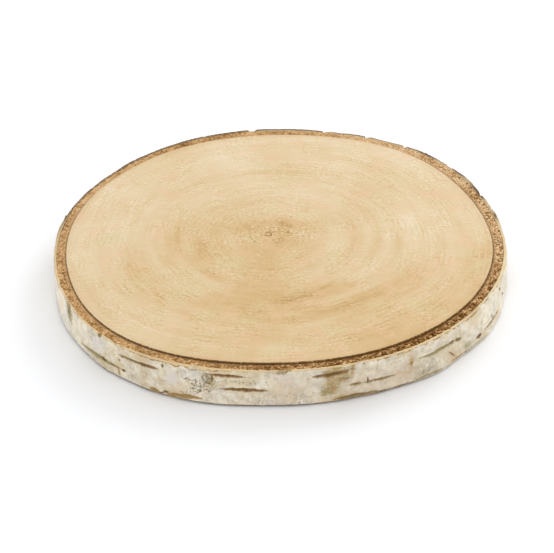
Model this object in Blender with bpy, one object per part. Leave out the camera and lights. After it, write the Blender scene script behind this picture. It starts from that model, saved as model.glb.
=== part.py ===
"""Birch wood slice: a round sawn across a birch stem, with its bark still on.

Metres, +Z up. The slice lies on its lower sawn face at z = 0, and the middle of its
outline is on the Z axis. A bearing is an angle in degrees round the stem's own axis,
from +X towards +Y. Lengths named below are in millimetres.
"""

import math
import random

import bmesh
import bpy
from mathutils import Vector, noise

MM = 0.001

# The stem: its sawn thickness, and its wood outline as a circle with slow waves
THICKNESS = 20.0
WOOD_RADIUS = 107.9
# (waves round the stem, rise, bearing of a crest)
STEM_WAVES = ((2, 2.5, 62.0), (3, 0.7, 100.0), (4, 1.1, 51.0), (6, 0.5, 53.0))
STEM_AXIS = (-0.8, -1.6)
# (middle bearing, spread in degrees, extra radius) where the stem is wider or narrower
# at its lower face than at its upper one
FOOT_SWELLS = ((308.0, 7.0, 2.0), (332.0, 15.0, 2.2), (0.0, 25.0, 1.0), (227.0, 13.0, -1.3))

# The bark: brown inner layer, then white paper
INNER_BARK = 4.8
PAPER_BARK = 1.4
# (middle bearing, spread in degrees, extra width) where the inner bark swells or thins
BARK_SWELLS = ((38.0, 14.0, 1.5), (100.0, 16.0, 0.9), (148.0, 26.0, -1.2))

# Both sawn faces: the wood stands proud, because the bark has dried and shrunk
WOOD_ARRIS = 0.35
BARK_DROP = 0.85
BARK_DROP_AT_PAPER = 0.5
PAPER_DROP = 0.25
PAPER_SHOULDER = 0.9
# Where the outermost paper has torn back from the sawn edge
TEAR_DEPTH = 0.35
TEAR_HEIGHT = 2.0
TEAR_WANDER = 2.2

# Relief of the wall and of the ragged edge: height, and size of its features
WALL_RELIEF = 0.5
WALL_RELIEF_SIZE = 16.0
EDGE_RAGGED = 0.3
EDGE_RAGGED_SIZE = 5.0
# The back right of the rim is shaggier: (middle bearing, spread, factor)
SHAGGY_EDGE = (62.0, 40.0, 2.2)

# Lenticels, the dark slits across the bark: (bearing, height, length, width)
LENTICELS = (
    (225.4, 6.0, 29.0, 2.6), (237.8, 15.0, 22.5, 1.8), (258.2, 16.8, 17.5, 1.8),
    (262.3, 9.8, 21.5, 2.0), (282.2, 16.5, 17.5, 2.5), (287.4, 2.4, 20.5, 2.2),
    (291.6, 8.4, 23.0, 1.6), (311.0, 12.6, 29.0, 2.2), (247.6, 2.7, 22.0, 2.4),
    (324.9, 4.9, 6.0, 1.8), (332.6, 5.6, 16.0, 1.2), (341.8, 8.9, 5.0, 1.4),
)
LENTICEL_DEPTH = 0.5
# The far side has more of them, drawn by a seeded rule
FAR_SIDE = (350.0, 560.0)
FAR_LENTICELS = 14
FAR_LENGTHS = (8.0, 28.0)
FAR_WIDTHS = (1.1, 2.0)
FAR_SEED = 7

# Bits broken out of the paper at the upper rim: (bearing, length, height, depth)
RIM_CHIPS = (
    (97.5, 6.0, 2.4, 1.8), (76.8, 5.0, 1.6, 1.4), (65.0, 4.0, 1.6, 1.4),
    (53.8, 5.0, 1.8, 1.5), (38.0, 5.0, 1.4, 1.5), (21.8, 6.0, 1.8, 1.7),
    (14.5, 4.0, 1.4, 1.2), (203.0, 7.0, 1.0, 1.1), (232.0, 9.0, 1.0, 1.1),
)
# The same at the lower rim
FOOT_CHIPS = ((118.0, 12.0, 2.6, 1.0),)

# Paper that stands off the rim: (bearing of its root, length, height, lift); a
# negative length runs the other way round
PAPER_FLAKES = (
    (105.5, -8.5, 2.6, 1.3), (83.0, 9.0, 3.2, 1.4), (60.0, -8.0, 2.8, 1.2),
    (52.0, -10.0, 3.4, 1.5), (33.5, -9.0, 4.2, 1.6), (156.5, -5.5, 3.0, 1.7),
    (171.5, -6.0, 3.4, 1.8), (214.0, 6.5, 2.6, 1.0),
)
FLAKE_THICKNESS = 0.75
FLAKE_ROOT = 1.1

# How finely the slice is drawn: round the outline, up the wall between the torn edges
# as shares of the thickness, and along each groove, chip and flake. Edges that turn
# more than SHARP_FROM degrees are shaded sharp.
SEGMENTS = 168
WALL_ROWS = (0.62, 0.4)
STATIONS = 7
SHARP_FROM = 20.0


def wrapped(bearing):
    """A difference of bearings brought to between -180 and 180 degrees."""
    return (bearing + 180.0) % 360.0 - 180.0


def bump(bearing, middle, spread):
    """A bell curve round the stem, 1 at its middle bearing."""
    return math.exp(-((wrapped(bearing - middle) / spread) ** 2))


def wander(bearing, height, size, layer):
    """Smooth noise on the bark, about -1 to 1, with features of the given size."""
    angle = math.radians(bearing)
    place = Vector((math.cos(angle), math.sin(angle), 0.0)) * WOOD_RADIUS
    place.z = height
    return 1.6 * noise.noise(place / size + Vector((0.0, 0.0, 37.0 * layer)))


def wood_radius(bearing):
    """From the stem's axis to the edge of the wood."""
    waves = (
        rise * math.cos(count * math.radians(bearing - crest))
        for count, rise, crest in STEM_WAVES
    )
    return WOOD_RADIUS + sum(waves)


def inner_bark_width(bearing):
    """From the edge of the wood to the paper."""
    swells = (
        extra * bump(bearing, middle, spread)
        for middle, spread, extra in BARK_SWELLS
    )
    return INNER_BARK + sum(swells)


def wall_radius(bearing, height):
    """From the stem's axis to the outside of the paper."""
    relief = WALL_RELIEF * wander(bearing, height, WALL_RELIEF_SIZE, 0)
    return wood_radius(bearing) + inner_bark_width(bearing) + PAPER_BARK + relief


def point(bearing, radius, height):
    """A place on the stem in metres, from its bearing, radius and height."""
    angle = math.radians(bearing)
    swell = sum(extra * bump(bearing, middle, spread) for middle, spread, extra in FOOT_SWELLS)
    out = radius * (1.0 + (1.0 - height / THICKNESS) * swell / WOOD_RADIUS)
    return Vector((
        STEM_AXIS[0] + out * math.cos(angle),
        STEM_AXIS[1] + out * math.sin(angle),
        height,
    )) * MM


def face_rows(bearing, upper):
    """One sawn face at a bearing, from its wood out to the torn edge of the paper.

    Each row is (radius, height) on the upper or the lower face.
    """
    layer = 1 if upper else 4
    wood = wood_radius(bearing)
    bark = wood + inner_bark_width(bearing)
    middle, spread, factor = SHAGGY_EDGE
    shaggy = 1.0 + (factor - 1.0) * bump(bearing, middle, spread)
    ragged = EDGE_RAGGED * shaggy * wander(bearing, 0.0, EDGE_RAGGED_SIZE, layer)
    grains = EDGE_RAGGED * wander(bearing, 50.0, EDGE_RAGGED_SIZE, layer)
    torn = abs(wander(bearing, 0.0, 2.0 * EDGE_RAGGED_SIZE, layer + 1))
    tear = TEAR_HEIGHT + TEAR_WANDER * torn

    def height(drop):
        return THICKNESS - drop if upper else drop

    def wall(drop):
        return wall_radius(bearing, height(drop)) + 0.4 * ragged

    rows = (
        (wood - WOOD_ARRIS, 0.0),
        (wood, WOOD_ARRIS),
        (wood + 0.1, BARK_DROP),
        (0.5 * (wood + bark), BARK_DROP - 0.8 * grains),
        (bark, BARK_DROP_AT_PAPER + 0.3 * grains),
        (bark + 0.4 * PAPER_BARK, max(0.05, PAPER_DROP + 0.5 * ragged)),
        (wall(PAPER_SHOULDER) - TEAR_DEPTH, PAPER_SHOULDER + 0.3 * ragged),
        (wall(tear) - TEAR_DEPTH, tear),
        (wall(tear), tear + 0.3),
    )
    return [(radius, height(drop)) for radius, drop in rows]


def rim_column(bearing):
    """The whole edge of the slice at one bearing, from the upper face to the lower."""
    wall_heights = [share * THICKNESS for share in WALL_ROWS]
    wall = [(wall_radius(bearing, height), height) for height in wall_heights]
    rows = face_rows(bearing, True) + wall + face_rows(bearing, False)[::-1]
    return [point(bearing, radius, height) for radius, height in rows]


def material(name, colour, roughness):
    """A plain finish with its colour as linear RGB."""
    finish = bpy.data.materials.new(name)
    finish.use_nodes = True
    shader = finish.node_tree.nodes["Principled BSDF"]
    shader.inputs["Base Color"].default_value = (*colour, 1.0)
    shader.inputs["Roughness"].default_value = roughness
    shader.inputs["Metallic"].default_value = 0.0
    return finish


def finishes():
    """The four colours of the slice, in the order of its material slots."""
    return (
        material("pale_birch_wood", (0.76, 0.59, 0.36), 0.6),
        material("brown_inner_bark", (0.42, 0.22, 0.08), 0.85),
        material("white_paper_bark", (0.74, 0.69, 0.59), 0.65),
        material("dark_lenticel", (0.20, 0.12, 0.06), 0.8),
    )


WOOD, INNER, PAPER, LENTICEL = range(4)
# Counted from a sawn face, the last band of the rim that is inner bark
LAST_INNER_BAND = 3


def mesh_object(name, rings, sides, slot, slots):
    """A closed body skinned over rings of points, with a flat face at each end.

    Each ring has as many points as there are sides, or one point, which makes a tip.
    """
    shape = bmesh.new()
    loops = []
    for ring in rings:
        if len(ring) == 1:
            loops.append([shape.verts.new(ring[0])] * sides)
        else:
            loops.append([shape.verts.new(place) for place in ring])
    for first, second in zip(loops, loops[1:]):
        for index in range(sides):
            after = (index + 1) % sides
            corners = [first[index], second[index], second[after], first[after]]
            face = shape.faces.new(list(dict.fromkeys(corners)))
            face.material_index = slot
    for loop, order in ((loops[0], 1), (loops[-1], -1)):
        if loop[0] is not loop[1]:
            shape.faces.new(loop[::order]).material_index = slot
    mesh = bpy.data.meshes.new(name)
    shape.to_mesh(mesh)
    shape.free()
    for finish in slots:
        mesh.materials.append(finish)
    body = bpy.data.objects.new(name, mesh)
    bpy.context.scene.collection.objects.link(body)
    return body


def stem_round(slots):
    """The slice itself, lofted from its upper wood face round the rim to its lower one."""
    bearings = [360.0 * index / SEGMENTS for index in range(SEGMENTS)]
    columns = [rim_column(bearing) for bearing in bearings]
    rings = [list(ring) for ring in zip(*columns)]
    body = mesh_object("birch_slice", rings, SEGMENTS, WOOD, slots)
    bands = len(rings) - 1
    for number, face in enumerate(body.data.polygons[:bands * SEGMENTS]):
        band = number // SEGMENTS
        from_face = min(band, bands - 1 - band)
        if from_face > LAST_INNER_BAND:
            face.material_index = PAPER
        elif from_face > 0:
            face.material_index = INNER
    return body


def along_wall(name, bearing, length, section_at, slot, slots):
    """A closed tool or flake that follows the wall.

    section_at takes the share of the length from 0 to 1 and gives (outward, height)
    pairs, outward from the wall, in the order that faces the body outwards. One pair
    makes a tip.
    """
    turn = math.degrees(length / WOOD_RADIUS)
    rings = []
    for station in range(STATIONS):
        share = station / (STATIONS - 1)
        here = bearing + turn * (share - 0.5)
        rings.append([
            point(here, wall_radius(here, height) + outward, height)
            for outward, height in section_at(share)
        ])
    sides = max(len(ring) for ring in rings)
    return mesh_object(name, rings, sides, slot, slots)


def face_out(body):
    """Turns a closed body's faces outwards."""
    shape = bmesh.new()
    shape.from_mesh(body.data)
    bmesh.ops.recalc_face_normals(shape, faces=shape.faces)
    shape.to_mesh(body.data)
    shape.free()
    return body


def far_side_lenticels():
    """Lenticels round the back of the slice, clear of each other."""
    draw = random.Random(FAR_SEED)
    start, end = FAR_SIDE
    step = (end - start) / FAR_LENTICELS
    heights = (5.0, 13.5, 9.0, 16.0)
    for number in range(FAR_LENTICELS):
        yield (
            start + step * (number + 0.5) + draw.uniform(-0.2, 0.2) * step,
            heights[number % len(heights)] + draw.uniform(-1.2, 1.2),
            draw.uniform(*FAR_LENGTHS),
            draw.uniform(*FAR_WIDTHS),
        )


def lenticel_groove(number, bearing, height, length, width, slots):
    """A lens-shaped cutter, as deep as a lenticel and sharp at both ends."""
    clear = 0.5

    def section(share):
        swell = math.sin(math.pi * share) ** 0.8
        if swell < 0.01:
            return [(clear, height)]
        reach = 0.5 * width * swell * (LENTICEL_DEPTH + clear) / LENTICEL_DEPTH
        return [(clear, height + reach), (-LENTICEL_DEPTH * swell, height), (clear, height - reach)]

    return face_out(along_wall(f"lenticel_{number}", bearing, length, section, LENTICEL, slots))


def rim_chip(number, bearing, length, tall, depth, face_height, slots):
    """A cutter that breaks a bit out of the paper at the edge of a sawn face."""
    clear = 1.0
    inward = -1.0 if face_height > 0.5 * THICKNESS else 1.0

    def section(share):
        swell = math.sin(math.pi * share) ** 0.6
        if swell < 0.01:
            return [(clear, face_height)]
        jagged = 0.72 + 0.28 * math.sin(9.0 * share + number)
        foot = face_height + inward * tall * jagged * swell
        over = face_height - inward * clear
        return [(clear, over), (-depth * swell, over), (-depth * swell, foot), (clear, foot)]

    return face_out(along_wall(f"chip_{number}", bearing, length, section, PAPER, slots))


def paper_flake(number, bearing, length, tall, lift, slots):
    """A curl of paper with its root sunk in the wall and its free end standing off."""
    level = THICKNESS - 0.5 - 0.5 * tall

    def section(share):
        along = share if length > 0.0 else 1.0 - share
        inner = -FLAKE_ROOT + (FLAKE_ROOT + lift - FLAKE_THICKNESS) * along ** 0.7
        outer = inner + FLAKE_THICKNESS
        half = 0.5 * tall * (1.0 - 0.7 * along ** 3)
        crest = level + half + 0.1 * tall * math.sin(6.0 * along)
        foot = level - half + 0.16 * tall * math.sin(5.0 * along + number)
        return [(inner, crest), (outer, crest), (outer, foot), (inner, foot)]

    middle = bearing + math.degrees(0.5 * length / WOOD_RADIUS)
    return face_out(along_wall(f"flake_{number}", middle, abs(length), section, PAPER, slots))


def boolean(body, tools, operation):
    """Joins or cuts the body by a group of tools, and removes the tools."""
    group = bpy.data.collections.new(f"{operation.lower()}_tools")
    bpy.context.scene.collection.children.link(group)
    for tool in tools:
        bpy.context.scene.collection.objects.unlink(tool)
        group.objects.link(tool)
    change = body.modifiers.new(operation.title(), "BOOLEAN")
    change.operation = operation
    change.operand_type = "COLLECTION"
    change.collection = group
    change.solver = "EXACT"
    change.material_mode = "TRANSFER"
    bpy.context.view_layer.update()
    depsgraph = bpy.context.evaluated_depsgraph_get()
    changed = bpy.data.meshes.new_from_object(body.evaluated_get(depsgraph))
    body.modifiers.clear()
    changed.name = body.name
    body.data = changed
    for tool in tools:
        bpy.data.objects.remove(tool)
    bpy.data.collections.remove(group)


def build():
    """Models the slice."""
    for leftover in list(bpy.data.objects):
        bpy.data.objects.remove(leftover)
    slots = finishes()
    body = face_out(stem_round(slots))
    flakes = [paper_flake(number, *flake, slots) for number, flake in enumerate(PAPER_FLAKES)]
    boolean(body, flakes, "UNION")
    marks = list(LENTICELS) + list(far_side_lenticels())
    grooves = [lenticel_groove(number, *mark, slots) for number, mark in enumerate(marks)]
    chips = [(*chip, THICKNESS) for chip in RIM_CHIPS] + [(*chip, 0.0) for chip in FOOT_CHIPS]
    notches = [rim_chip(number, *chip, slots) for number, chip in enumerate(chips)]
    boolean(body, grooves + notches, "DIFFERENCE")
    body.data.shade_smooth()
    body.data.set_sharp_from_angle(angle=math.radians(SHARP_FROM))


build()
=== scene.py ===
"""Looks of a birch wood slice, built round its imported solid.

A round sawn across a birch stem lies flat: sanded end grain with growth rings, a ring of
granular inner bark sunk a little below it, and a wall of white paper bark with dark
lenticels, stains, torn edges and small curls. In the classes lengths are millimetres and
bearings are degrees round the stem, from +X towards +Y. Meshes are in metres.
"""

import logging
import math
import random
from collections.abc import Iterator, Mapping, Sequence
from dataclasses import dataclass, field
from enum import Enum
from typing import Any

import bpy
import numpy as np
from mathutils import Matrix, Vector, noise


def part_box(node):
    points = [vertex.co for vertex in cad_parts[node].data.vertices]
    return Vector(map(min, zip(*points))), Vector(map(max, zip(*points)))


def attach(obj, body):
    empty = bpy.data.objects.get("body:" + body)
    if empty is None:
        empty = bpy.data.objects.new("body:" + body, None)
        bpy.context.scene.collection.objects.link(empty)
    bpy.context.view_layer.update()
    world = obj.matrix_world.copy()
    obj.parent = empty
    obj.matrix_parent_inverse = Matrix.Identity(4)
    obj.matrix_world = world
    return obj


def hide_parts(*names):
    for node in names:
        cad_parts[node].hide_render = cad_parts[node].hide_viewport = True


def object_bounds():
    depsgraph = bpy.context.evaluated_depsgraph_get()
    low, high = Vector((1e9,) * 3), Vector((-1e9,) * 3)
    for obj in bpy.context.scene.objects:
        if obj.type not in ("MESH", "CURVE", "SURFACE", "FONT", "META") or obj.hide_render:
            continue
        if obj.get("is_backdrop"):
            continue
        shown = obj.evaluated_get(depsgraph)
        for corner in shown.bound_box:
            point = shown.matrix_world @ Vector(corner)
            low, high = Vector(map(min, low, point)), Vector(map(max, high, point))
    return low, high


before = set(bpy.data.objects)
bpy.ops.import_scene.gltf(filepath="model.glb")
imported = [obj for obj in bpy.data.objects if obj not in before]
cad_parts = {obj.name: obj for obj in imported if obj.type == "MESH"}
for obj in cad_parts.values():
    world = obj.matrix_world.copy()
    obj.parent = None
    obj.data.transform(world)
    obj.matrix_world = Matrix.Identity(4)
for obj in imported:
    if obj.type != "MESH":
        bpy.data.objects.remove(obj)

CAD_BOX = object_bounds()
MM = 0.001
SLICE = "birch_slice"
# Brings Blender's noise, which seldom passes 0.6, to about -1 to 1
NOISE_GAIN = 1.6
# How steeply packed grains rise from the crevices between them
GRAIN_GAIN = 2.2
# How far apart unlike patterns of noise are taken, in sizes of a feature
LAYER_STEP = 37.0
# What a place far from every lenticel has as its depth inside one, in millimetres
NO_SLIT = -3.0

Array = np.ndarray
Output = bpy.types.NodeSocket
# Bell curves round the stem: the middle bearing, spread and height of each
Bells = tuple[tuple[float, float, float], ...]
log = logging.getLogger("birch_slice")


class Slot(Enum):
    """The record's material slots."""

    WOOD = "birch_wood"
    INNER_BARK = "inner_bark"
    PAPER_BARK = "paper_bark"


class Face(Enum):
    """One of the two sawn faces, with the layer of noise that its edge takes."""

    UPPER = 1
    LOWER = 4


class Tint(Enum):
    """The colour of a slit in the bark, as shares of olive and of tan."""

    BROWN = (0.0, 0.0)
    UMBER = (0.35, 0.0)
    OLIVE = (1.0, 0.0)
    TAN = (0.0, 1.0)


class Stain(Enum):
    """What a blotch on the white bark is, by the name of its field."""

    BLOOM = "bloom"
    BLUSH = "blush"
    SAGE = "sage"
    MOSS = "moss"
    SOOT = "soot"


# What the white bark's finish reads at each point: how far inside a lenticel it is and how
# olive or tan that is, how far past the outer paper's tear, how white from flaking and from
# painted light on the sides, how dark, each stain
WALL_FIELDS = ("lenticel", "olive", "tan", "torn", "layer", "dark", *(stain.value for stain in Stain))


def linear(hex_colour: str) -> tuple[float, float, float, float]:
    """Turns an sRGB hex colour into the linear one that a shader takes.

    Args:
        hex_colour: Six hex digits, with or without a leading hash.

    Returns:
        Linear red, green, blue and an alpha of 1.
    """
    digits = hex_colour.lstrip("#")
    shares = (int(digits[at:at + 2], 16) / 255.0 for at in (0, 2, 4))
    red, green, blue = (
        share / 12.92 if share <= 0.04045 else ((share + 0.055) / 1.055) ** 2.4
        for share in shares
    )
    return red, green, blue, 1.0


def all_round(columns: int) -> Array:
    """Even bearings right round the stem, as one row."""
    return np.linspace(0.0, 360.0, columns, endpoint=False)[None, :]


def turn_from(middle: float, bearing: Array) -> Array:
    """Degrees from a middle bearing round to others, from -180 to 180."""
    return (bearing - middle + 180.0) % 360.0 - 180.0


def bell(bearing: Array, middle: float, spread: float) -> Array:
    """A bell curve round the stem, 1 at its middle bearing."""
    return np.exp(-((turn_from(middle, bearing) / spread) ** 2))


def bells(bearing: Array, humps: Bells) -> Array:
    """The sum of several bell curves round the stem."""
    return sum(height * bell(bearing, middle, spread) for middle, spread, height in humps)


def ease(low: float, high: float, value: Array) -> Array:
    """A smooth step from 0 at the low value to 1 at the high one."""
    share = np.clip((value - low) / (high - low), 0.0, 1.0)
    return share * share * (3.0 - 2.0 * share)


def noise_at(places: Array) -> Array:
    """Smooth noise, about -1 to 1, at places whose features are about one unit wide.

    Args:
        places: Any array whose last axis is x, y, z.

    Returns:
        One value for each place.
    """
    flat = places.reshape(-1, 3).tolist()
    values = np.fromiter((noise.noise(place) for place in flat), float, len(flat))
    return NOISE_GAIN * values.reshape(places.shape[:-1])


def grains_at(places: Array) -> Array:
    """Height of packed round grains about one unit wide.

    Args:
        places: Any array whose last axis is x, y, z.

    Returns:
        One value for each place, from 0 in a crevice to 1 on a grain.
    """
    flat = places.reshape(-1, 3).tolist()
    near = (noise.voronoi(place)[0] for place in flat)
    gaps = np.fromiter((far - close for close, far, *_ in near), float, len(flat))
    return np.clip(gaps * GRAIN_GAIN, 0.0, 1.0).reshape(places.shape[:-1])


@dataclass(frozen=True)
class Ripple:
    """Noise on the bark: its rise, how wide and how tall its features are, its pattern."""

    rise: float
    wide: float
    tall: float
    layer: int


@dataclass(frozen=True)
class Stem:
    """The grown form of the stem: its outline, its flared foot and the bark's widths."""

    thickness: float
    wood_mean: float = 107.9
    # Waves of the wood's outline: how many go round, their rise, the bearing of a crest
    waves: tuple[tuple[int, float, float], ...] = (
        (2, 2.5, 62.0), (3, 0.7, 100.0), (4, 1.1, 51.0), (6, 0.5, 53.0),
    )
    axis: tuple[float, float] = (-0.8, -1.6)
    pith: tuple[float, float] = (-5.6, 1.3)
    # The widths of the inner bark and the paper, and where each is thicker or thinner
    inner_mean: float = 4.8
    inner_swells: Bells = (
        (38.0, 14.0, 1.5), (100.0, 16.0, 0.9), (148.0, 26.0, -1.2), (180.0, 9.0, -0.5),
    )
    paper: float = 1.4
    paper_swells: Bells = ((17.0, 26.0, 0.9), (95.0, 45.0, 0.25), (180.0, 9.0, 0.5))
    # Where the stem is wider or narrower at its foot
    foot_swells: Bells = (
        (308.0, 7.0, 2.0), (332.0, 15.0, 2.2), (0.0, 25.0, 1.0), (227.0, 13.0, -1.3),
    )
    # The wall's slow relief, and how ragged the paper's sawn edges are
    relief: Ripple = Ripple(0.5, 16.0, 16.0, 0)
    ragged: Ripple = Ripple(0.3, 5.0, 5.0, 0)
    # Where the edges are more ragged: bearing, spread, how many times
    shaggy: tuple[float, float, float] = (62.0, 40.0, 2.2)

    def wood_edge(self, bearing: Array) -> Array:
        """From the stem's axis to the edge of the wood.

        Args:
            bearing: Bearings round the stem.

        Returns:
            The distance at each.
        """
        rises = (
            rise * np.cos(count * np.radians(bearing - crest))
            for count, rise, crest in self.waves
        )
        return self.wood_mean + sum(rises)

    def inner_edge(self, bearing: Array) -> Array:
        """From the stem's axis to where the inner bark meets the paper."""
        return self.wood_edge(bearing) + self.inner_mean + bells(bearing, self.inner_swells)

    def wall(self, bearing: Array, height: Array) -> Array:
        """From the stem's axis to the outside of the paper, with its slow relief."""
        swell = self.rough(bearing, height, self.relief) + bells(bearing, self.paper_swells)
        return self.inner_edge(bearing) + self.paper + swell

    def rough(self, bearing: Array, height: Array, *ripples: Ripple, shift: int = 0) -> Array:
        """Noise on the bark's wall, which carries on over its edges.

        Args:
            bearing: Bearings of the places.
            height: Heights of the places above the lower face.
            *ripples: The noises that are summed.
            shift: Moves each to another pattern, so that two edges are unlike.

        Returns:
            The rise at each place.
        """
        angle = np.radians(bearing)
        across, along, up = np.broadcast_arrays(
            self.wood_mean * np.cos(angle), self.wood_mean * np.sin(angle), height,
        )
        places = np.stack([across, along, up], -1)
        return sum(
            ripple.rise * noise_at(
                places / np.array((ripple.wide, ripple.wide, ripple.tall))
                + (0.0, 0.0, LAYER_STEP * (ripple.layer + shift)),
            )
            for ripple in ripples
        )

    def edge_noise(self, bearing: Array, face: Face) -> Array:
        """How ragged the paper's sawn edge is.

        Args:
            bearing: Bearings round the stem.
            face: The sawn face.

        Returns:
            Millimetres of height, about zero, at each.
        """
        middle, spread, times = self.shaggy
        shaggy = 1.0 + (times - 1.0) * bell(bearing, middle, spread)
        return shaggy * self.rough(bearing, 0.0, self.ragged, shift=face.value)

    def along(self, bearing: Array, middle: float) -> Array:
        """How far round the wall bearings lie from a middle one, in millimetres."""
        return np.radians(turn_from(middle, bearing)) * (self.wood_mean + self.inner_mean)

    def level(self, drop: Array, face: Face) -> Array:
        """The height that lies a given drop inside a sawn face."""
        return self.thickness - drop if face is Face.UPPER else drop

    def place(
        self, bearing: Array, radius: Array, height: Array, centre: Sequence[float] = (0.0, 0.0),
    ) -> Array:
        """Places on the stem, moved out or in where its foot is wider or narrower.

        Args:
            bearing: Bearings of the places.
            radius: Their distances from a centre, before that move.
            height: Their heights.
            centre: The centre, from the stem's axis.

        Returns:
            Millimetres, with x, y and z on the last axis.
        """
        angle = np.radians(bearing)
        across = centre[0] + radius * np.cos(angle)
        along = centre[1] + radius * np.sin(angle)
        swell = bells(np.degrees(np.arctan2(along, across)), self.foot_swells)
        flare = 1.0 + (1.0 - height / self.thickness) * swell / self.wood_mean
        places = (self.axis[0] + across * flare, self.axis[1] + along * flare, height)
        return np.stack(np.broadcast_arrays(*places), -1)

    def pith_place(self) -> tuple[float, float, float]:
        """The pith on the upper face."""
        return self.axis[0] + self.pith[0], self.axis[1] + self.pith[1], self.thickness


@dataclass
class Skin:
    """A mesh in the making: closed bodies over grids of points, with named values."""

    points: list[Array] = field(default_factory=list)
    faces: list[list[int]] = field(default_factory=list)
    values: dict[str, list[Array]] = field(default_factory=dict)

    def cover(self, rows: Array, fields: Mapping[str, Array | float], ring: bool) -> None:
        """Adds one closed body over a grid of points.

        Args:
            rows: Points in millimetres, shaped (rows, columns, 3). Each row is a loop.
            fields: Named values, one for each point of the grid, for the finish to read.
            ring: Whether the last row meets the first, as in a ring. Else each end row
                is closed to a point in its middle.
        """
        count, columns = rows.shape[:2]
        start = sum(len(group) for group in self.points)
        index = start + np.arange(count * columns).reshape(count, columns)
        first = index if ring else index[:-1]
        second = np.roll(index, -1, axis=0) if ring else index[1:]
        corners = [first, second, np.roll(second, -1, axis=1), np.roll(first, -1, axis=1)]
        self.faces += np.stack(corners, -1).reshape(-1, 4).tolist()
        self.points.append(rows.reshape(-1, 3))
        flat = {key: np.broadcast_to(grid, (count, columns)).ravel() for key, grid in fields.items()}
        if not ring:
            tip = start + count * columns
            for row, turn in ((index[0], 1), (index[-1], -1)):
                pairs = np.stack([row, np.roll(row, -1)], -1)[:, ::turn]
                self.faces += [[*pair, tip] for pair in pairs.tolist()]
                tip += 1
            self.points.append(np.stack([rows[0].mean(0), rows[-1].mean(0)]))
            flat = {key: np.concatenate([grid, grid[[0, -1]]]) for key, grid in flat.items()}
        for key, grid in flat.items():
            self.values.setdefault(key, []).append(grid)

    def piece(self, name: str, finish: bpy.types.Material, slot: Slot) -> bpy.types.Object:
        """Makes the mesh an object that stands for the slice.

        Args:
            name: The piece's name.
            finish: Its material.
            slot: The record slot that the finish belongs to; not used.

        Returns:
            The new object.
        """
        mesh = bpy.data.meshes.new(name)
        mesh.from_pydata((np.concatenate(self.points) * MM).tolist(), [], self.faces)
        mesh.polygons.foreach_set("use_smooth", [True] * len(mesh.polygons))
        for key, groups in self.values.items():
            layer = mesh.attributes.new(key, "FLOAT", "POINT")
            layer.data.foreach_set("value", np.concatenate(groups).astype(np.float32))
        mesh.materials.append(finish)
        mesh.update()
        piece = bpy.data.objects.new(name, mesh)
        bpy.context.scene.collection.objects.link(piece)
        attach(piece, "root")
        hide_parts(SLICE)
        return piece


@dataclass(frozen=True)
class Pattern:
    """Noise in a finish: the sizes of its features along x, y and z, and how fine it goes."""

    sizes: tuple[float, float, float]
    detail: float = 2.0
    roughness: float = 0.5


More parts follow.
